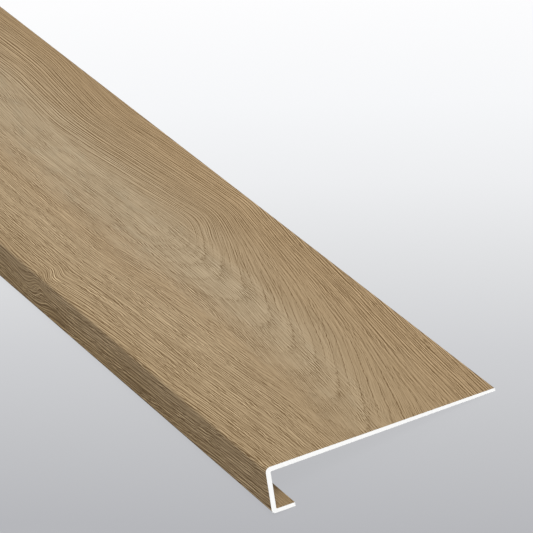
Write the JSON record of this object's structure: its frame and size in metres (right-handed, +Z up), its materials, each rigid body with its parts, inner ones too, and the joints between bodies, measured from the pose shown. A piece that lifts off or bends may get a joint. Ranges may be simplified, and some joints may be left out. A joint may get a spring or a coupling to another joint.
{
  "type": "stair tread",
  "caption": "Long stair tread cap: wood-grain board with a square, round-arrised nose and a short return lip that hooks under the nosing of the step it covers.",
  "frame": {"origin": "middle of the underside of the box around the piece as it lies unheld on a floor", "axes": "+X along the length of the step, +Y from the nose to the back edge, +Z up; the top face leans down towards the back, because the piece rests on its lip's rear corner and its back edge"},
  "size_m": [1.5, 0.3048, 0.0637],
  "materials": {
    "oak_film": "matt embossed oak-figure film on a white rigid plastic body, sawn white ends"
  },
  "bodies": {
    "root": {"stair_tread": "oak_film"}
  },
  "joints": []
}
